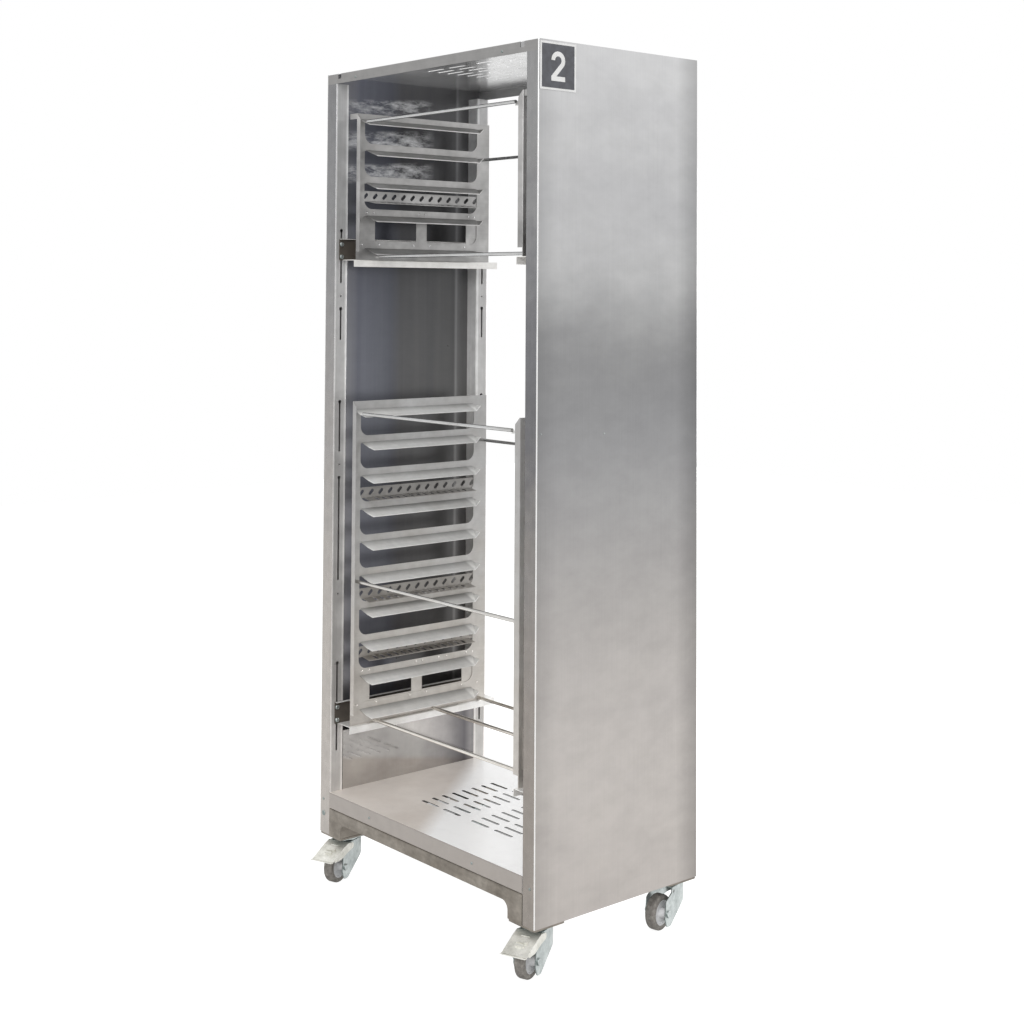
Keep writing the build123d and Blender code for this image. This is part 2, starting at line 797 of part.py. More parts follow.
def pressed_mark(size, place, top):
    """Raised stadium on the sloping tread of a pedal."""
    run = pedal_tip[0] - pedal_brow[0]
    fall = pedal_tip[1] - pedal_brow[1]
    tilt = math.degrees(math.atan2(fall, run))
    return Pos(0, -place[0], top - place[1]) * Rot(tilt, 0, 0) * extrude(
        SlotOverall(*size), amount=pedal_rib_height)


def castor_pedal():
    """Brake pedal over the wheel, hinged on a pin through the fork legs."""
    top = crown_level()
    tip_y = -pedal_tip[0]
    tip_z = top - pedal_tip[1]
    points = [(-pedal_root, top), (-pedal_brow[0], top - pedal_brow[1]), (tip_y, tip_z),
              (tip_y - pedal_lip[0], tip_z + pedal_lip[1])]
    tread = along_x(folded_section(points, pedal_sheet, bend), -pedal_half_width, pedal_half_width)
    pivot_z = top - pedal_pivot_drop
    under = pedal_sheet / 2
    slope = (pedal_tip[1] - pedal_brow[1]) / (pedal_tip[0] - pedal_brow[0])
    cheek = outline([(-pedal_root, top - under), (-pedal_brow[0], top - pedal_brow[1] - under),
                     (tip_y + cheek_nose, tip_z - under + slope * cheek_nose),
                     (tip_y + cheek_nose * 1.5, top - cheek_depth),
                     (-cheek_low_start, top - cheek_depth), (-cheek_heel, top - cheek_heel_drop),
                     (pedal_pivot_y, pivot_z - pedal_ear_radius),
                     (pedal_pivot_y, pivot_z + pedal_ear_radius)])
    cheek = cheek + Pos(pedal_pivot_y, pivot_z) * Circle(pedal_ear_radius)
    cheek = along_x(cheek, pedal_half_width - pedal_sheet, pedal_half_width)
    pin = rod_x(-pedal_half_width, pedal_half_width, pedal_pivot_y, pivot_z, pedal_pivot_radius)
    shoe = block(-shoe_half_width, shoe_half_width, -shoe_span[1], -shoe_span[0],
                 top - shoe_heights[1], top - shoe_heights[0])
    rib = pressed_mark(pedal_rib, pedal_rib_place, top)
    bar = pressed_mark(pedal_bar, pedal_bar_place, top)
    return tread + [cheek, left_of(cheek), pin, shoe, rib, bar]


def at_castor(shape, corner, turned=True):
    sign_x = 1 if corner.endswith("right") else -1
    sign_y = -1 if corner.startswith("front") else 1
    x = sign_x * (half_width - castor_inset)
    y = sign_y * (half_depth - castor_inset)
    angle = castor_yaw[corner] if turned else 0
    return Pos(x, y, 0) * Rot(0, 0, angle) * shape


# Small fasteners on the outside

def rivet(radius):
    """Low domed head that points towards -y."""
    head = Cylinder(radius, rivet_height)
    head = fillet(head.edges().sort_by(Axis.Z)[-1], rivet_height * dome_share)
    return Pos(0, -rivet_height / 2, 0) * Rot(90, 0, 0) * head


def frame_rivets():
    front = -half_depth
    heads = []
    for sign in (-1, 1):
        for inset, height in (pan_rivet, post_rivet):
            heads.append(Pos(sign * (half_width - inset), front, panel_bottom + height)
                         * rivet(rivet_radius))
        heads.append(Pos(sign * (half_width - lip_rivet_inset), front, panel_top - lip_rivet_drop)
                     * rivet(rivet_radius))
        for distance, height in side_dots:
            side = Pos(sign * half_width, front_back(distance), panel_bottom + height)
            heads.append(side * Rot(0, 0, 90 * sign) * rivet(rivet_radius / 2))
    bolt_place = Pos(post_bolt[0] - half_width, front, panel_bottom + post_bolt[1])
    heads.append(bolt_place * rivet(2 * rivet_radius))
    return heads


nodes = {}
os.makedirs("parts", exist_ok=True)

panel = side_panel()
keep("side_panel_right", panel)
keep("side_panel_left", left_of(panel))
post = corner_post()
rear_post = mirror(post, about=Plane.XZ)
keep("post_front_right", post)
keep("post_front_left", left_of(post))
keep("post_rear_right", rear_post)
keep("post_rear_left", left_of(rear_post))
keep("liner_right", liner())
keep("liner_left", left_of(liner()))
keep("top_panel", top_panel())
keep("bottom_pan", bottom_pan())
front_rail = chassis_rail()
keep("chassis_rail_front", front_rail)
keep("chassis_rail_rear", mirror(front_rail, about=Plane.XZ))
keep("corner_pads", corner_pads())
keep("number_plate", number_plate())
keep("number_figure", number_figure())
keep("frame_rivets", frame_rivets())
for which, level in rail_levels.items():
    bearing = bearing_rail(level)
    keep("bearing_rail_" + which + "_right", bearing)
    keep("bearing_rail_" + which + "_left", left_of(bearing))
keep("rail_studs", rail_studs())

for which, levels in (("lower", lower_levels), ("upper", upper_levels)):
    wall = rack_wall(which, levels)
    slides = rack_slides(which, levels)
    keep(which + "_rack_wall_right", wall)
    keep(which + "_rack_wall_left", left_of(wall))
    keep(which + "_rack_slides_right", slides)
    keep(which + "_rack_slides_left", [left_of(item) for item in slides])
    keep(which + "_rack_slotted_strips", slotted_strips(which))
    keep(which + "_rack_backing_plates", backing_plates(which, levels[0]))
    keep(which + "_rack_rods", rack_rods(which, levels))

keep("castor_mounts", [at_castor(castor_mount(), corner, False) for corner in castor_yaw])
fork = castor_fork()
tyre = castor_tyre()
core = castor_core()
axle = castor_axle()
pedal = castor_pedal()
for corner in castor_yaw:
    keep("castor_fork_" + corner, at_castor(fork, corner))
    keep("castor_tyre_" + corner, at_castor(tyre, corner))
    keep("castor_core_" + corner, at_castor(core, corner))
    keep("castor_axle_" + corner, at_castor(axle, corner))
    if corner.startswith("front"):
        keep("castor_pedal_" + corner, at_castor(pedal, corner))

export_nodes()
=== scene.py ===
import math

import bpy
import numpy as np
from mathutils import Matrix, Vector


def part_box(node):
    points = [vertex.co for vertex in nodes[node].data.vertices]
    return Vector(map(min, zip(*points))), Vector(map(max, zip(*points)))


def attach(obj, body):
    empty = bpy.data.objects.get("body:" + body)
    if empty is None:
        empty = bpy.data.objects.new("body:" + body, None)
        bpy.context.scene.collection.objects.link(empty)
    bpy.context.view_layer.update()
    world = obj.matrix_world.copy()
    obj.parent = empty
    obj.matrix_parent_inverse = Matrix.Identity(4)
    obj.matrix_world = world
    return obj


# Oven rack trolley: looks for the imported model. Metres, +Z up, open front towards -Y.

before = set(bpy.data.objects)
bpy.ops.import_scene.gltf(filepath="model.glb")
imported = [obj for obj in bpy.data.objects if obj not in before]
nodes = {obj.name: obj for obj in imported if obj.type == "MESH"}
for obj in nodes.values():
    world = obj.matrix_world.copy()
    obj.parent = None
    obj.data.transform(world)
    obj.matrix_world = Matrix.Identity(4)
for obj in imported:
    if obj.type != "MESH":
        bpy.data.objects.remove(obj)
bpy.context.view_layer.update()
scene = bpy.context.scene
mm = 0.001
print("frame loaded:", len(nodes), "nodes")

# Places that the camera and the finishes are laid out from
panelLow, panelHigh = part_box("side_panel_right")
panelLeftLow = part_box("side_panel_left")[0]
cornerX = panelHigh.x  # outer front corner at the right panel's foot
frontY = panelLow.y
panelZ = panelLow.z
panelTop = panelHigh.z
middleX = (panelHigh.x + panelLeftLow.x) / 2
middleY = (panelLow.y + panelHigh.y) / 2
halfDepth = (panelHigh.y - panelLow.y) / 2
lipReach = halfDepth - 1.2 * mm  # faces further from middleY than this look forward or back
halfInside = (panelHigh.x - panelLeftLow.x) / 2 - 2.9 * mm  # just past the panels' inner faces


def linearColour(hexText):
    # sRGB hex text to a linear RGBA colour
    parts = [int(hexText[i:i + 2], 16) / 255 for i in (1, 3, 5)]
    return [c / 12.92 if c <= 0.04045 else ((c + 0.055) / 1.055) ** 2.4 for c in parts] + [1.0]


def addNode(tree, kind, settings=None, inputs=None, stops=None, blend="LINEAR"):
    # Adds one shader node, sets its properties, and sets or links its inputs. A node given as an
    # input links its first output. Stops are the places of a colour ramp, each with its hex colour
    # or grey value.
    node = tree.nodes.new("ShaderNode" + kind)
    for name, value in (settings or {}).items():
        setattr(node, name, value)
    for name, value in (inputs or {}).items():
        if isinstance(value, bpy.types.Node):
            value = value.outputs[0]
        if isinstance(value, bpy.types.NodeSocket):
            tree.links.new(value, node.inputs[name])
        else:
            node.inputs[name].default_value = value
    if stops:
        node.color_ramp.interpolation = blend
        elements = node.color_ramp.elements
        while len(elements) < len(stops):
            elements.new(0.5)
        for element, (position, tone) in zip(elements, stops):
            element.position = position
        for element, (position, tone) in zip(elements, stops):
            element.color = linearColour(tone) if isinstance(tone, str) else [tone] * 3 + [1.0]
    return node


def startMaterial(name):
    # a new material with an empty node tree
    material = bpy.data.materials.new(name)
    material.use_nodes = True
    material.node_tree.nodes.clear()
    return material, material.node_tree


def dress(material, *names):
    # gives CAD nodes their material
    for name in names:
        piece = nodes[name]
        if piece.data.materials:
            piece.material_slots[0].material = material
        else:
            piece.data.materials.append(material)


# Camera at the photograph's viewpoint
cameraFacts = {
    "offset": (2.4357, -2.1396, 1.2814),  # metres from the right panel's lower front corner
    "heading": -49.641,  # degrees from +Y towards +X
    "pitch": 2.248,
    "roll": -0.331,
    "focalPixels": 1591.25,
    "principalRow": 228.6,
    "framePixels": 1024,
    "sensor": 36.0,  # millimetres
    "farLimit": 60,
}


def makeCamera(facts):
    heading, pitch, roll = (math.radians(facts[key]) for key in ("heading", "pitch", "roll"))
    forward = Vector((math.sin(heading) * math.cos(pitch), math.cos(heading) * math.cos(pitch),
                      math.sin(pitch)))
    level = Vector((math.cos(heading), -math.sin(heading), 0))
    down = forward.cross(level)
    right = math.cos(roll) * level + math.sin(roll) * down
    down = math.cos(roll) * down - math.sin(roll) * level
    data = bpy.data.cameras.new("photoCamera")
    data.sensor_width = facts["sensor"]
    data.lens = facts["focalPixels"] * facts["sensor"] / facts["framePixels"]
    data.shift_y = (facts["principalRow"] - facts["framePixels"] / 2) / facts["framePixels"]
    data.clip_end = facts["farLimit"]
    camera = bpy.data.objects.new("photoCamera", data)
    scene.collection.objects.link(camera)
    turn = Matrix((right, -down, -forward)).transposed().to_4x4()
    place = Vector((cornerX, frontY, panelZ)) + Vector(facts["offset"])
    camera.matrix_world = Matrix.Translation(place) @ turn
    scene.camera = camera


makeCamera(cameraFacts)

# Light: an even pale room, one broad lamp in front and daylight through the open rear
lightFacts = {
    "worldColour": "#ffffff",
    "worldDiffuse": 0.75,  # strength on matt surfaces
    "worldSeen": 1.0,  # strength where the camera, polished metal or glass shows it
    "keyEnergy": 70.0,
    "keySize": 3.0,
    "keyPlace": (2.2, -3.0, 3.4),
    "keyAim": (middleX, middleY, (panelZ + panelTop) / 2),
    "rearEnergy": 25.0,
    "rearSize": 1.2,
    "rearPlace": (0.0, 2.2, 1.2),
    "rearAim": (middleX, middleY, 0.2),
    "floorSize": 14.0,
    "floorColour": "#a6a6a5",
    "floorGlow": 0.9,
    # painted shadow: the floor's glow fades around this centre
    "shadeCentre": (-0.46, 0.40, 0.0),  # the glow fades here, behind the trolley
    "shadeReach": (0.12, 0.4),
}


def makeWorld(facts):
    world = bpy.data.worlds.new("paleRoom")
    scene.world = world
    world.use_nodes = True
    tree = world.node_tree
    tree.nodes.clear()
    path = addNode(tree, "LightPath").outputs
    seen = addNode(tree, "Math", {"operation": "MAXIMUM"},
                   {0: path["Is Camera Ray"], 1: path["Is Glossy Ray"]})
    seen = addNode(tree, "Math", {"operation": "MAXIMUM"},
                   {0: seen, 1: path["Is Transmission Ray"]})
    colour = linearColour(facts["worldColour"])
    even = addNode(tree, "Background", inputs={"Color": colour, "Strength": facts["worldDiffuse"]})
    white = addNode(tree, "Background", inputs={"Color": colour, "Strength": facts["worldSeen"]})
    both = addNode(tree, "MixShader", inputs={0: seen, 1: even, 2: white})
    addNode(tree, "OutputWorld", inputs={"Surface": both})


def makeLamp(name, energy, size, place, aim):
    data = bpy.data.lights.new(name, "AREA")
    data.energy = energy
    data.size = size
    lamp = bpy.data.objects.new(name, data)
    scene.collection.objects.link(lamp)
    lamp.location = place
    lamp.rotation_euler = (Vector(aim) - Vector(place)).to_track_quat("-Z", "Y").to_euler()


def makeFloor(facts):
    # a pale matt floor with a soft glow of its own, so that it stays white. The glow fades in a
    # soft
    # disc behind the trolley: a painted shadow, in which the lamps' real shadow shows
    material, tree = startMaterial("paleFloor")
    path = addNode(tree, "LightPath").outputs
    seen = addNode(tree, "Math", {"operation": "MAXIMUM"},
                   {0: path["Is Camera Ray"], 1: path["Is Glossy Ray"]})
    glow = addNode(tree, "Math", {"operation": "MULTIPLY"}, {0: seen, 1: facts["floorGlow"]})
    matt = addNode(tree, "BsdfDiffuse", inputs={"Color": linearColour(facts["floorColour"])})
    # painted shadow: the glow is gone within the near reach of shadeCentre and whole beyond the far
    # one
    place = addNode(tree, "TexCoord").outputs["Object"]
    away = addNode(tree, "VectorMath", {"operation": "DISTANCE"},
                   {0: place, 1: facts["shadeCentre"]}).outputs["Value"]
    near, far = facts["shadeReach"]
    fade = addNode(tree, "MapRange", {"interpolation_type": "SMOOTHSTEP"},
                   {"Value": away, "From Min": near, "From Max": far})
    glow = addNode(tree, "Math", {"operation": "MULTIPLY"}, {0: glow, 1: fade})
    light = addNode(tree, "Emission", inputs={"Strength": glow})
    both = addNode(tree, "AddShader", inputs={0: matt, 1: light})
    addNode(tree, "OutputMaterial", inputs={"Surface": both})
    half = facts["floorSize"] / 2
    mesh = bpy.data.meshes.new("floor")
    mesh.from_pydata([(-half, -half, 0), (half, -half, 0), (half, half, 0), (-half, half, 0)],
                     [], [(0, 1, 2, 3)])
    mesh.materials.append(material)
    floor = bpy.data.objects.new("floor", mesh)
    scene.collection.objects.link(floor)


makeWorld(lightFacts)
for lampName, key in (("broadLamp", "key"), ("rearLamp", "rear")):
    makeLamp(lampName, *(lightFacts[key + fact] for fact in ("Energy", "Size", "Place", "Aim")))
makeFloor(lightFacts)
scene.view_settings.view_transform = "Standard"
print("camera and light set")

# What all the metal finishes share
metalFacts = {
    "cloudRange": (0.3, 0.7),  # noise values between which a tone runs from end to end
    "grainRange": (0.3, 0.7),
    "markRange": (0.35, 0.68),
    "cloudDetail": 3.0,
    "grainDetail": 2.0,
    "markDetail": 5.0,
    "softContrast": 0.55,  # how far a pattern's fine detail stands out
    "markContrast": 0.65,
    "grainHeight": 0.2 * mm,
    "faceLimit": 0.5,  # a face counts as level when its normal's Z passes this
}


def steelFinish(facts):
    # Metal sheet: its tone drifts in soft clouds, with fine straight grain from rolling or brushing
    # and dull handling marks. The faces named under "edge" (looking forward or back) and "inner"
    # (between the side panels) get painted light and shade: tones, metal and roughness of their
    # own.
    material, tree = startMaterial(facts["name"])
    coordinates = addNode(tree, "TexCoord").outputs
    place = coordinates["Object"]
    axes = addNode(tree, "SeparateXYZ", inputs={0: place}).outputs
    facing = addNode(tree, "SeparateXYZ", inputs={0: coordinates["Normal"]}).outputs

    def pattern(spacing, detail, contrast=metalFacts["softContrast"], twist=0.0):
        # noise as wide as the spacing, in millimetres along X, Y and Z
        stretched = addNode(tree, "Mapping", inputs={
            "Vector": place, "Scale": [1 / (size * mm) for size in spacing]})
        return addNode(tree, "TexNoise", inputs={
            "Vector": stretched, "Scale": 1.0, "Detail": detail, "Roughness": contrast,
            "Distortion": twist})

    def distance(axis, centre):
        # how far the point lies from a middle plane, to either side
        offset = addNode(tree, "Math", {"operation": "SUBTRACT"}, {0: axes[axis], 1: centre})
        return addNode(tree, "Math", {"operation": "ABSOLUTE"}, {0: offset})

    def acrossDepth(columns):
        # tone by the distance from the front edge, or from the nearer of front and rear
        if columns["mirrored"]:
            depth = addNode(tree, "Math", {"operation": "SUBTRACT"},
                            {0: halfDepth, 1: distance("Y", middleY)})
        else:
            depth = addNode(tree, "Math", {"operation": "SUBTRACT"}, {0: axes["Y"], 1: frontY})
        share = addNode(tree, "MapRange", inputs={"Value": depth, "From Max": columns["width"]})
        return addNode(tree, "ValToRGB", inputs={"Fac": share}, stops=columns["stops"])

    def paintedReflectionShare(paintedReflections):
        # painted reflections: crumpled bright patches in rows below the panel's top, which tilt
        # with the depth and end short of the rear
        low, high = paintedReflections["range"]
        crumples = addNode(tree, "MapRange", inputs={
            "Value": pattern(paintedReflections["size"], paintedReflections["detail"], paintedReflections["contrast"], paintedReflections["twist"]),
            "From Min": low, "From Max": high, "To Max": paintedReflections["strength"]})
        offset = addNode(tree, "Math", {"operation": "SUBTRACT"}, {0: axes["Y"], 1: middleY})
        fall = addNode(tree, "Math", {"operation": "MULTIPLY"}, {0: offset, 1: paintedReflections["slope"]})
        tilted = addNode(tree, "Math", {"operation": "ADD"}, {0: axes["Z"], 1: fall})
        below = addNode(tree, "Math", {"operation": "SUBTRACT"}, {0: panelTop, 1: tilted})
        share = addNode(tree, "MapRange", inputs={"Value": below, "From Max": paintedReflections["depth"]})
        rows = addNode(tree, "ValToRGB", inputs={"Fac": share}, stops=paintedReflections["rows"])
        ahead = addNode(tree, "MapRange", inputs={
            "Value": axes["Y"], "From Min": paintedReflections["end"],
            "From Max": paintedReflections["end"] + paintedReflections["fade"], "To Min": 1.0, "To Max": 0.0})
        share = addNode(tree, "Math", {"operation": "MULTIPLY"}, {0: rows, 1: ahead})
        return addNode(tree, "Math", {"operation": "MULTIPLY"}, {0: crumples, 1: share})

    def layered(colour, tones, covers):
        # the colour multiplied by every tone, then each cover laid over its share of the surface
        for tone in tones:
            colour = addNode(tree, "Mix", {"data_type": "RGBA", "blend_type": "MULTIPLY"},
                             {"Factor": 1.0, 6: colour, 7: tone}).outputs[2]
        for share, cover in covers:
            colour = addNode(tree, "Mix", {"data_type": "RGBA"},
                             {"Factor": share, 6: colour, 7: cover}).outputs[2]
        return colour

    clouds = pattern(facts["cloudSize"], metalFacts["cloudDetail"])
    grain = pattern(facts["grainSize"], metalFacts["grainDetail"])
    marks = pattern(facts["markSize"], metalFacts["markDetail"], metalFacts["markContrast"])
    low, high = metalFacts["cloudRange"]
    height = addNode(tree, "MapRange", inputs={
        "Value": axes["Z"], "From Min": panelZ, "From Max": panelTop})
    shift = addNode(tree, "MapRange", inputs={
        "Value": clouds, "From Min": low, "From Max": high,
        "To Min": -facts["drift"], "To Max": facts["drift"]})
    height = addNode(tree, "Math", {"operation": "ADD"}, {0: height, 1: shift})
    sheet = addNode(tree, "ValToRGB", inputs={"Fac": clouds}, stops=[
        (low, facts["darkTone"]), (high, facts["lightTone"])])
    metal, rough = facts["metal"], facts["roughness"][0]
    tones, covers = [], []
    # painted light, shade and reflections: tones by height, depth and width
    if "bands" in facts:
        tones.append(addNode(tree, "ValToRGB", inputs={"Fac": height}, stops=facts["bands"],
                             blend="B_SPLINE"))
    if "columns" in facts:
        tones.append(acrossDepth(facts["columns"]))
    if "acrossWidth" in facts:
        width = facts["acrossWidth"]
        share = addNode(tree, "MapRange", inputs={
            "Value": distance("X", middleX), "From Min": width["from"], "From Max": width["to"]})
        tones.append(addNode(tree, "ValToRGB", inputs={"Fac": share}, stops=width["stops"]))
    if "lipShade" in facts:
        # the strip of the underside behind the front lip gets no light
        shade = facts["lipShade"]
        under = addNode(tree, "Math", {"operation": "LESS_THAN"},
                        {0: facing["Z"], 1: -metalFacts["faceLimit"]})
        ahead = addNode(tree, "Math", {"operation": "LESS_THAN"},
                        {0: axes["Y"], 1: frontY + shade["depth"]})
        share = addNode(tree, "Math", {"operation": "MULTIPLY"}, {0: under, 1: ahead})
        covers.append((share, linearColour(shade["tone"])))
    if "shadedFront" in facts:
        # what faces forward and down looks into the shade
        shade = facts["shadedFront"]
        tilt = addNode(tree, "Math", {"operation": "ADD"}, {0: facing["Y"], 1: facing["Z"]})
        share = addNode(tree, "MapRange", inputs={
            "Value": tilt, "From Min": shade["full"], "From Max": shade["none"],
            "To Min": 1.0, "To Max": 0.0})
        covers.append((share, linearColour(shade["tone"])))
    if "glare" in facts:
        # painted glare: part of a sheet painted white and less metallic, as if it mirrored the
        # daylight, behind a slanting soft border
        glare = facts["glare"]
        alongX = addNode(tree, "Math", {"operation": "MULTIPLY"},
                         {0: axes["X"], 1: glare["alongX"]})
        alongY = addNode(tree, "Math", {"operation": "MULTIPLY"},
                         {0: axes["Y"], 1: glare["alongY"]})
        slant = addNode(tree, "Math", {"operation": "ADD"}, {0: alongX, 1: alongY})
        border = glare["offset"] + cornerX * glare["alongX"] + frontY * glare["alongY"]
        share = addNode(tree, "MapRange", inputs={
            "Value": slant, "From Min": border, "From Max": border + glare["blur"]})
        covers.append((share, linearColour(glare["tone"])))
        metal = addNode(tree, "MapRange", inputs={
            "Value": share, "To Min": metal, "To Max": glare["metal"]})
    if "slotWallShade" in facts:
        # painted shade: the cut walls of the vent slots, painted nearly black so that the slots
        # read dark
        walls = facts["slotWallShade"]
        slope = addNode(tree, "Math", {"operation": "ABSOLUTE"}, {0: facing["Z"]})
        share = addNode(tree, "Math", {"operation": "LESS_THAN"},
                        {0: slope, 1: metalFacts["faceLimit"]})
        for axis, centre in (("X", middleX), ("Y", middleY)):
            central = addNode(tree, "Math", {"operation": "LESS_THAN"},
                              {0: distance(axis, centre), 1: walls["reach" + axis]})
            share = addNode(tree, "Math", {"operation": "MULTIPLY"}, {0: share, 1: central})
        covers.append((share, linearColour(walls["tone"])))
    # painted light and shade: faces looking forward or back, and faces between the side panels, get
    # tones of their own
    faces = {}
    if "edge" in facts:
        faces["edge"] = addNode(tree, "Math", {"operation": "GREATER_THAN"},
                                {0: distance("Y", middleY), 1: lipReach})
    if "inner" in facts:
        faces["inner"] = addNode(tree, "Math", {"operation": "LESS_THAN"},
                                 {0: distance("X", middleX), 1: halfInside})
    for part, share in faces.items():
        own = facts[part]
        bands = addNode(tree, "ValToRGB", inputs={"Fac": height}, stops=own["bands"],
                        blend="B_SPLINE")
        ownTones, ownCovers = [], []
        if "columns" in own:
            ownTones.append(acrossDepth(own["columns"]))
        if "streaks" in own:
            streaks = pattern(own["streaks"]["size"], own["streaks"]["detail"])
            ownTones.append(addNode(tree, "ValToRGB", inputs={"Fac": streaks},
                                    stops=own["streaks"]["stops"]))
        # painted reflections laid over the inner face
        if "paintedReflections" in own:
            ownCovers.append((paintedReflectionShare(own["paintedReflections"]), linearColour(own["paintedReflections"]["tone"])))
        covers.append((share, layered(bands, ownTones, ownCovers)))
        metal = addNode(tree, "MapRange", inputs={
            "Value": share, "To Min": metal, "To Max": own["metal"]})
        rough = addNode(tree, "MapRange", inputs={
            "Value": share, "To Min": rough, "To Max": own["roughness"]})
    low, high = metalFacts["grainRange"]
    grainTone = addNode(tree, "MapRange", inputs={
        "Value": grain, "From Min": low, "From Max": high,
        "To Min": 1 - facts["grainDepth"], "To Max": 1 + facts["grainDepth"]})
    low, high = metalFacts["markRange"]
    markTone = addNode(tree, "MapRange", inputs={
        "Value": marks, "From Min": low, "From Max": high,
        "To Min": 1 + facts["markDepth"], "To Max": 1 - facts["markDepth"]})
    fine = addNode(tree, "Math", {"operation": "MULTIPLY"}, {0: grainTone, 1: markTone})
    colour = addNode(tree, "VectorMath", {"operation": "SCALE"},
                     {0: layered(sheet, tones, covers), "Scale": fine})
    dull = addNode(tree, "Math", {"operation": "MULTIPLY"}, {0: marks, 1: facts["roughness"][1]})
    rough = addNode(tree, "Math", {"operation": "ADD"}, {0: dull, 1: rough})
    bump = addNode(tree, "Bump", inputs={
        "Strength": facts["bump"], "Distance": metalFacts["grainHeight"], "Height": grain})
    shader = addNode(tree, "BsdfPrincipled", inputs={
        "Base Color": colour, "Metallic": metal, "Roughness": rough, "Normal": bump})
    addNode(tree, "OutputMaterial", inputs={"Surface": shader})
    return material


# In the dictionaries below, sizes of clouds, grain and marks are millimetres along X, Y and Z, and
# the grain is drawn coarser than real grain, which would not show. "bands" are painted light,
# shade and reflections from the panels' foot to their top, "columns" and "acrossWidth" the same
# along the depth and the width.
# "drift" lets the clouds shift the bands. "roughness" is the clean metal's, and what marks add.

# Brushed stainless sheet of the side panels, with grain along the height. Its bands are painted
# reflections: soft level bands of light and dark up the height
sidePanelFinish = {
    "name": "brushedStainlessPanel",
    "lightTone": "#f1f1f1", "darkTone": "#e9e9ea",
    # painted reflections: level bands, darkest a little above the middle
    "bands": [(0.0, "#bdb7b2"), (0.2, "#c5c0bc"), (0.34, "#b6b2af"), (0.5, "#a8a8a9"),
              (0.6, "#979798"), (0.67, "#a4a4a4"), (0.75, "#d4d4d4"), (0.86, "#cacacb"),
              (1.0, "#e8e8e8")],
    "drift": 0.011,
    # painted shade: slightly darker at the front edge and towards the rear edge
    "columns": {"mirrored": False, "width": 2 * halfDepth, "stops": [
        (0.0, "#e9e9e9"), (0.12, "#ffffff"), (0.86, "#ffffff"), (0.94, "#e6e6e6"),
        (1.0, "#d6d6d6")]},
    "cloudSize": (140, 180, 110),
    "grainSize": (6, 2.2, 260), "grainDepth": 0.02,
    "markSize": (60, 70, 38), "markDepth": 0.036,
    "roughness": (0.36, 0.12), "bump": 0.12, "metal": 1.0,
    # painted highlight: the faces looking forward or back, the folded edges, lighter and less
    # metallic
    "edge": {"metal": 0.6, "roughness": 0.3, "bands": [(0.0, "#e9e7e5"), (1.0, "#f2f2f2")]},
    # painted light: the inner faces lighter and duller than the outer face
    "inner": {"metal": 0.3, "roughness": 0.24,
              "bands": [(0.0, "#dad6d3"), (0.5, "#cfcecd"), (1.0, "#d2d2d3")]},
}
# the left panel's inner face: painted shade, deep bluish grey, painted lighter near the open front,
# with painted reflections in rows near the top
panelLeftFinish = dict(sidePanelFinish, name="brushedStainlessPanelLeft")
panelLeftFinish["inner"] = {
    "metal": 0.55, "roughness": 0.24,
    # painted shade: dark greys up the height
    "bands": [(0.0, "#9a9693"), (0.35, "#a09e9d"), (0.6, "#9e9e9d"), (0.74, "#878789"),
              (0.86, "#808082"), (1.0, "#a8a8aa")],
    # painted light near the open front, bluish shade behind it, and a bright painted reflection
    # line near the rear post
    "columns": {"mirrored": False, "width": 2 * halfDepth, "stops": [
        (0.0, "#ffffff"), (0.12, "#f8f9ff"), (0.2, "#bcc0cf"), (0.4, "#a3a7b3"),
        (0.47, "#98989a"), (0.83, "#989898"), (0.843, "#dcdcdc"), (0.856, "#b6b6b6"),
        (1.0, "#c4c4c4")]},
    "streaks": {"size": (90, 38, 1500), "detail": 3.0,
                "stops": [(0.35, "#ebebed"), (0.65, "#fbfbfb")]},
    # painted reflections: bright crumpled patches in rows near the top
    "paintedReflections": {
        "tone": "#e4e5e7", "size": (40, 52, 16), "detail": 6.0, "contrast": 0.7, "twist": 0.15,
        "range": (0.42, 0.66), "strength": 0.8,
        "slope": -0.07, "end": middleY + 0.04, "fade": 0.05, "depth": 0.3,
        "rows": [(0.13, 0.0), (0.16, 1.0), (0.24, 1.0), (0.28, 0.0), (0.39, 0.0), (0.42, 1.0),
                 (0.52, 1.0), (0.56, 0.0), (0.66, 0.0), (0.69, 1.0), (0.79, 1.0), (0.83, 0.0)]},
}

# Polished folded sheet of the posts; the front faces mirror sharply. Their tones are painted
# reflections, cool and dark in the middle and warm at the foot, and the inner faces are painted
# lighter
postFinish = {
    "name": "polishedStainlessPostRight",
    "lightTone": "#ffffff", "darkTone": "#ececec",
    # painted light: the inner faces near white, warmest at the foot
    "bands": [(0.0, "#fffbf7"), (0.3, "#f4f1ee"), (0.6, "#e6e5e4"), (1.0, "#fafafb")],
    "drift": 0.05,
    # painted highlights: white along the two folds of the inner face, grey between them
    "columns": {"mirrored": True, "width": 37 * mm, "stops": [
        (0.0, "#ffffff"), (0.1, "#ffffff"), (0.16, "#d0d0d0"), (0.78, "#d8d8d8"),
        (0.86, "#ffffff"), (1.0, "#ffffff")]},
    "cloudSize": (80, 80, 60),
    "grainSize": (2.4, 2.4, 200), "grainDepth": 0.05,
    "markSize": (26, 26, 34), "markDepth": 0.07,
    "roughness": (0.26, 0.16), "bump": 0.1, "metal": 0.25,
    # painted reflections on the front faces
    "edge": {"metal": 1.0, "roughness": 0.2,
             "bands": [(0.0, "#8d8781"), (0.22, "#8a847f"), (0.42, "#868381"), (0.54, "#68686b"),
                       (0.7, "#7b7b7e"), (0.86, "#949494"), (1.0, "#949495")]},
}
postLeftFinish = dict(postFinish, name="polishedStainlessPostLeft")
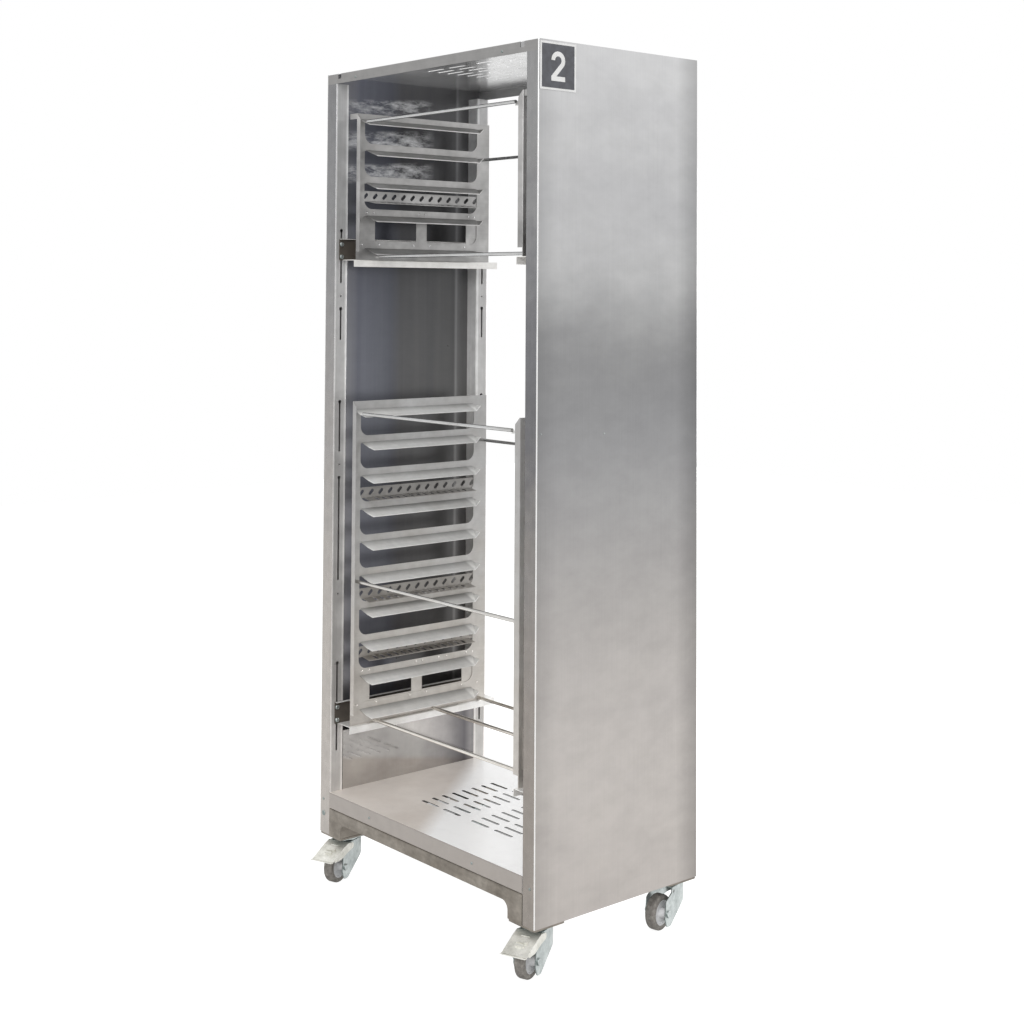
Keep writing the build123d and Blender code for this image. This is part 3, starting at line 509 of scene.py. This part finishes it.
# painted reflections on the left posts' front faces: lighter, darkest at the top
postLeftFinish["edge"] = dict(postFinish["edge"], bands=[
    (0.0, "#a8a39e"), (0.25, "#a9a49f"), (0.5, "#9f9c9a"), (0.75, "#919192"), (1.0, "#7e7e80")])

# Bright rolled sheet of the pan: smooth enough to mirror what is above it, warm on its left, with a
# painted white glare of daylight on its right
panFinish = {
    "name": "brightStainlessPan",
    "lightTone": "#efe8e1", "darkTone": "#e3dad2",
    "drift": 0.05,
    "cloudSize": (120, 120, 60),
    "grainSize": (160, 2.4, 2.4), "grainDepth": 0.012,
    "markSize": (34, 34, 34), "markDepth": 0.03,
    "roughness": (0.24, 0.12), "bump": 0.02, "metal": 0.35,
    # painted shade: the lip's faces looking forward or back, darker and more metallic than the top
    "edge": {"metal": 0.9, "roughness": 0.3, "bands": [(0.0, "#9f9994"), (1.0, "#9f9994")]},
    # painted shade on the walls of the vent slots
    "slotWallShade": {"tone": "#26282a", "reachX": 0.25, "reachY": 0.18},
    # painted glare: white and hardly metallic beyond a slanting border on the right
    "glare": {"tone": "#ffffff", "alongX": 1.0, "alongY": 0.81, "offset": -0.40, "blur": 0.06,
              "metal": 0.1},
}

# Worn rolled sheet of the chassis rails: warm grey, dulled in patches
chassisFinish = {
    "name": "wornStainlessChassis",
    "lightTone": "#8b857d", "darkTone": "#6f6961",
    "drift": 0.05,
    "cloudSize": (60, 120, 40),
    "grainSize": (160, 2.4, 2.4), "grainDepth": 0.04,
    "markSize": (20, 34, 14), "markDepth": 0.16,
    "roughness": (0.28, 0.16), "bump": 0.06, "metal": 1.0,
}

# Bright rolled sheet of the top: clear reflections on the underside, none behind the front lip
topFinish = {
    "name": "brightStainlessTop",
    "lightTone": "#e6e6e6", "darkTone": "#cdcdcd",
    "drift": 0.05,
    "cloudSize": (120, 120, 60),
    "grainSize": (160, 2.4, 2.4), "grainDepth": 0.03,
    "markSize": (34, 34, 34), "markDepth": 0.06,
    "roughness": (0.14, 0.14), "bump": 0.06, "metal": 0.6,
    "lipShade": {"tone": "#2c2c2d", "depth": 85 * mm},
    # painted shade: the lip's faces looking forward or back, darker and fully metallic
    "edge": {"metal": 1.0, "roughness": 0.3, "bands": [(0.0, "#959493"), (1.0, "#959493")]},
}

# Bright rolled sheet of the low liners: nearly a mirror, with painted shade darkening it towards
# the rear post
linerFinish = {
    "name": "brightStainlessLiner",
    "lightTone": "#bbb7b3", "darkTone": "#a7a3a0",
    "drift": 0.05,
    # painted shade towards the rear post
    "columns": {"mirrored": False, "width": 2 * halfDepth, "stops": [
        (0.0, "#ffffff"), (0.5, "#f4f4f4"), (0.72, "#d8d8da"), (0.8, "#a8a8ac"),
        (0.86, "#88888e"), (0.9, "#b4b4b8"), (1.0, "#9a9a9e")]},
    "cloudSize": (120, 90, 60),
    "grainSize": (2.4, 2.4, 160), "grainDepth": 0.02,
    "markSize": (34, 34, 34), "markDepth": 0.03,
    "roughness": (0.04, 0.06), "bump": 0.02, "metal": 1.0,
}

# Satin rolled sheet of the racks: it mirrors only as a sheen. Painted light: lighter and warmer low
# in the lower rack, greyer higher up, and the upper rack a darker painted-shade copy
rackFinish = {
    "name": "satinStainlessRack",
    "lightTone": "#e9e8e6", "darkTone": "#d3d1ce",
    # painted light: lighter and warmer low down, greyer higher up
    "bands": [(0.0, "#efe9e3"), (0.2, "#e6e2dd"), (0.35, "#d3d2d1"), (0.56, "#c6c7c9")],
    "drift": 0.05,
    "cloudSize": (90, 90, 70),
    "grainSize": (4, 160, 2.0), "grainDepth": 0.03,
    "markSize": (22, 22, 22), "markDepth": 0.06,
    "roughness": (0.24, 0.14), "bump": 0.08, "metal": 0.35,
}
# painted shade: a darker copy of the sheet for the upper rack, lightest near its top
upperRackFinish = dict(
    rackFinish, name="satinStainlessUpperRack", lightTone="#c2c1c0", darkTone="#a7a6a5",
    bands=[(0.74, "#cfcfcf"), (0.86, "#ffffff"), (1.0, "#ffffff")], metal=0.7)

# Punched strips behind the windows: the racks' sheet, in the shade
stripFinish = dict(
    rackFinish, name="slottedStainlessStrip", lightTone="#c9c6c2", darkTone="#b0ada9")

# Tray slides: the same satin sheet, with painted highlights on the free edges and painted shade
# towards the wall
wallSheet = 1.5 * mm
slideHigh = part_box("lower_rack_slides_left")[1]
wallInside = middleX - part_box("lower_rack_wall_left")[0].x - wallSheet
# painted highlight at the free edges, painted shade towards the wall
slideFade = {"from": -(slideHigh.x - middleX), "to": wallInside, "stops": [
    (0.0, "#ffffff"), (0.35, "#fcfcfc"), (0.7, "#d6d6d6"), (1.0, "#acacac")]}
slideFinish = dict(
    rackFinish, name="satinStainlessSlide", lightTone="#fafaf9", darkTone="#eeedeb",
    bands=[(0.0, "#fffdfa"), (0.56, "#fbfcfc")], metal=0.2, acrossWidth=slideFade,
    # painted shade darkening towards the rear, and a painted highlight on the rear stops
    columns={"mirrored": False, "width": 2 * halfDepth, "stops": [
        (0.1, "#ffffff"), (0.6, "#e8e8e8"), (0.775, "#d2d2d2"), (0.79, "#ffffff")]})
# the upper slides: painted highlight only on the free lip, painted shade beyond it
upperSlideFade = dict(slideFade, stops=[
    (0.0, "#ffffff"), (0.07, "#ffffff"), (0.12, "#b4b4b4"), (1.0, "#9a9a9a")])
upperSlideFinish = dict(
    upperRackFinish, name="satinStainlessUpperSlide", lightTone="#f6f5f4", darkTone="#e2e1df",
    metal=0.4, acrossWidth=upperSlideFade)

# Drawn tie rods: smooth and bright, with grain along their length
rodFinish = dict(
    rackFinish, name="drawnStainlessRod", lightTone="#fafaf8", darkTone="#e6e5e2",
    grainSize=(160, 1.5, 1.5), roughness=(0.16, 0.08), metal=0.9)

# Bearing rails: satin sheet, light on the shelf and lip, with painted shade on the web beside the
# post
# painted shade on the web: how deep it reaches, and its soft border
webShadeReach, webShadeFade = 3 * mm, 2 * mm  # how deep the dark tone reaches, and its soft border
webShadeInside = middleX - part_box("bearing_rail_lower_left")[0].x - webShadeReach
railFinish = dict(
    rackFinish, name="satinStainlessRail", lightTone="#fffefc", darkTone="#efede9",
    bands=[(0.0, "#ffffff"), (1.0, "#ffffff")], metal=0.3,
    # painted shade on the web
    acrossWidth={"from": webShadeInside - webShadeFade, "to": webShadeInside, "stops": [
        (0.0, "#ffffff"), (1.0, "#6b655f")]})

# Zinc plated pressed steel of the castors: bright, blotchy and slightly rough
zincFinish = {
    "name": "zincPlatedSteel",
    "lightTone": "#ccd2d1", "darkTone": "#a4abaa",
    "drift": 0.05,
    "cloudSize": (24, 24, 30),
    "grainSize": (3, 3, 3), "grainDepth": 0.05,
    "markSize": (7, 7, 7), "markDepth": 0.09,
    "roughness": (0.26, 0.2), "bump": 0.15, "metal": 0.85,
    "shadedFront": {"tone": "#7f8886", "full": -0.9, "none": -0.3},
}
# the pedals are lighter and yellower
pedalFinish = dict(
    zincFinish, name="yellowZincPedal", lightTone="#fdfcf5", darkTone="#d2d1c7", metal=0.55,
    markDepth=0.06, shadedFront=dict(zincFinish["shadedFront"], tone="#e8e8e2"))


def plainFinish(facts):
    # Rubber, plastic, enamel or film: one tone that drifts with dust or wear. Rubber has fine pits.
    material, tree = startMaterial(facts["name"])
    place = addNode(tree, "TexCoord").outputs["Object"]
    wear = addNode(tree, "TexNoise", inputs={
        "Vector": place, "Scale": 1 / (facts["wearSize"] * mm), "Detail": facts["wearDetail"],
        "Roughness": facts["wearContrast"]})
    tone = addNode(tree, "ValToRGB", inputs={"Fac": wear}, stops=facts["tones"])
    surface = {"Base Color": tone, "Roughness": facts["roughness"], "IOR": facts["ior"]}
    if "pits" in facts:
        pits = facts["pits"]
        noise = addNode(tree, "TexNoise", inputs={
            "Vector": place, "Scale": 1 / (pits["size"] * mm), "Detail": pits["detail"]})
        surface["Normal"] = addNode(tree, "Bump", inputs={
            "Strength": pits["strength"], "Distance": pits["depth"] * mm, "Height": noise})
    shader = addNode(tree, "BsdfPrincipled", inputs=surface)
    addNode(tree, "OutputMaterial", inputs={"Surface": shader})
    return material


# Solid grey-brown castor rubber: matt, scuffed and dusty, so it has hardly any highlight
rubberFacts = {
    "name": "greySolidRubber",
    "tones": [(0.3, "#736f6b"), (0.55, "#9f9a94"), (0.75, "#c8c2ba")],
    "wearSize": 9, "wearDetail": 6.0, "wearContrast": 0.7,  # sizes in millimetres
    "pits": {"size": 1.2, "depth": 0.4, "detail": 2.0, "strength": 0.4},
    "roughness": 0.72, "ior": 1.52,
}
# Moulded light grey polyamide of the wheel cores: a slight sheen, dirt in soft patches
coreFacts = {
    "name": "mouldedGreyPolyamide",
    "tones": [(0.35, "#e4e5e7"), (0.6, "#fdfdfe")],
    "wearSize": 12, "wearDetail": 5.0, "wearContrast": 0.65,
    "roughness": 0.42, "ior": 1.53,
}
# Number plate: satin dark enamel, nearly even, with faint handling wear
plateFacts = {
    "name": "darkPlateEnamel",
    "tones": [(0.4, "#54555a"), (0.62, "#606268")],
    "wearSize": 18, "wearDetail": 6.0, "wearContrast": 0.6,
    "roughness": 0.35, "ior": 1.5,
}
# Its figure and border: smooth white film
figureFacts = dict(plateFacts, name="whitePlateFilm", roughness=0.4,
                   tones=[(0.4, "#f2f2f0"), (0.62, "#fafafa")])

panelSteel = steelFinish(sidePanelFinish)
panelLeftSteel = steelFinish(panelLeftFinish)
postSteel = steelFinish(postFinish)
postLeftSteel = steelFinish(postLeftFinish)
panSteel = steelFinish(panFinish)
chassisSteel = steelFinish(chassisFinish)
topSteel = steelFinish(topFinish)
linerSteel = steelFinish(linerFinish)
rackSteel = {"lower": steelFinish(rackFinish), "upper": steelFinish(upperRackFinish)}
slideSteel = {"lower": steelFinish(slideFinish), "upper": steelFinish(upperSlideFinish)}
stripSteel = {"lower": steelFinish(stripFinish), "upper": rackSteel["upper"]}
rodSteel = steelFinish(rodFinish)
railSteel = steelFinish(railFinish)
zincSteel = steelFinish(zincFinish)
pedalSteel = steelFinish(pedalFinish)
tyreRubber = plainFinish(rubberFacts)
corePlastic = plainFinish(coreFacts)
plateEnamel = plainFinish(plateFacts)
figureFilm = plainFinish(figureFacts)

dress(panelSteel, "side_panel_right")
dress(panelLeftSteel, "side_panel_left")
dress(postSteel, "post_front_right", "post_rear_right")
dress(postLeftSteel, "post_front_left", "post_rear_left")
dress(panSteel, "bottom_pan")
dress(chassisSteel, "chassis_rail_front", "chassis_rail_rear", "corner_pads")
dress(topSteel, "top_panel")
dress(linerSteel, "liner_left", "liner_right")
for rack in ("lower", "upper"):
    for side in ("left", "right"):
        dress(rackSteel[rack], rack + "_rack_wall_" + side)
        dress(slideSteel[rack], rack + "_rack_slides_" + side)
        dress(railSteel, "bearing_rail_" + rack + "_" + side)
    dress(stripSteel[rack], rack + "_rack_slotted_strips")
    dress(rackSteel[rack], rack + "_rack_backing_plates")
    dress(rodSteel, rack + "_rack_rods")
for corner in ("front_left", "front_right", "rear_left", "rear_right"):
    dress(zincSteel, "castor_fork_" + corner, "castor_axle_" + corner)
    dress(tyreRubber, "castor_tyre_" + corner)
    dress(corePlastic, "castor_core_" + corner)
dress(pedalSteel, "castor_pedal_front_left", "castor_pedal_front_right")
dress(zincSteel, "castor_mounts", "rail_studs", "frame_rivets")
dress(plateEnamel, "number_plate")
dress(figureFilm, "number_figure")
print("finishes made")

# Spot welds on the inner faces of the rack walls: shallow caps in rows, above the lowest slide and
# above the window over it. Millimetres, with each row's height above the panels' foot and its
# places behind the cabinet's front.
weldFacts = {
    "radius": 2.4, "height": 0.5, "flatShare": 0.55, "sides": 14,
    "lower": {302: (45, 100, 200, 250, 360, 410), 380: (59, 79, 218, 238, 288, 313, 374, 394)},
    "upper": {1391: (47, 97, 200, 250, 360), 1468: (60, 80, 215, 236, 372, 390)},
}


def weldDots(name, body, rows, wallX, inward, facts):
    # Each cap: point = centre + radius x (0, cos a, inward sin a) + height x (inward, 0, 0), as a
    # rim ring on the wall, a smaller top ring and a lid. Inward is 1 on the left wall and -1 on
    # the right one, so that the faces point away from the wall.
    sides = facts["sides"]
    angle = np.arange(sides) * 2 * math.pi / sides
    ring = np.stack([0 * angle, np.cos(angle), inward * np.sin(angle)], axis=1) * facts["radius"]
    lift = np.array([inward * facts["height"], 0, 0])
    cap = np.concatenate([ring, ring * facts["flatShare"] + lift])
    places = np.array([(0, y, z) for z, row in rows.items() for y in row], dtype=float)
    points = (cap[None, :, :] + places[:, None, :]) * mm + np.array([wallX, frontY, panelZ])
    index = np.arange(sides)
    after = np.roll(index, -1)
    starts = np.arange(len(places)) * len(cap)
    rims = np.stack([index, after, after + sides, index + sides], axis=1)
    rims = (rims[None, :, :] + starts[:, None, None]).reshape(-1, 4)
    lids = index[None, :] + sides + starts[:, None]
    mesh = bpy.data.meshes.new(name)
    mesh.from_pydata(points.reshape(-1, 3).tolist(), [], rims.tolist() + lids.tolist())
    mesh.materials.append(rodSteel)
    obj = bpy.data.objects.new(name, mesh)
    scene.collection.objects.link(obj)
    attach(obj, body)


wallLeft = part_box("lower_rack_wall_left")[0].x + wallSheet
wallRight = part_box("lower_rack_wall_right")[1].x - wallSheet
for rack in ("lower", "upper"):
    weldDots(rack + "WeldsLeft", rack + "_rack", weldFacts[rack], wallLeft, 1, weldFacts)
    weldDots(rack + "WeldsRight", rack + "_rack", weldFacts[rack], wallRight, -1, weldFacts)
print("spot welds made")
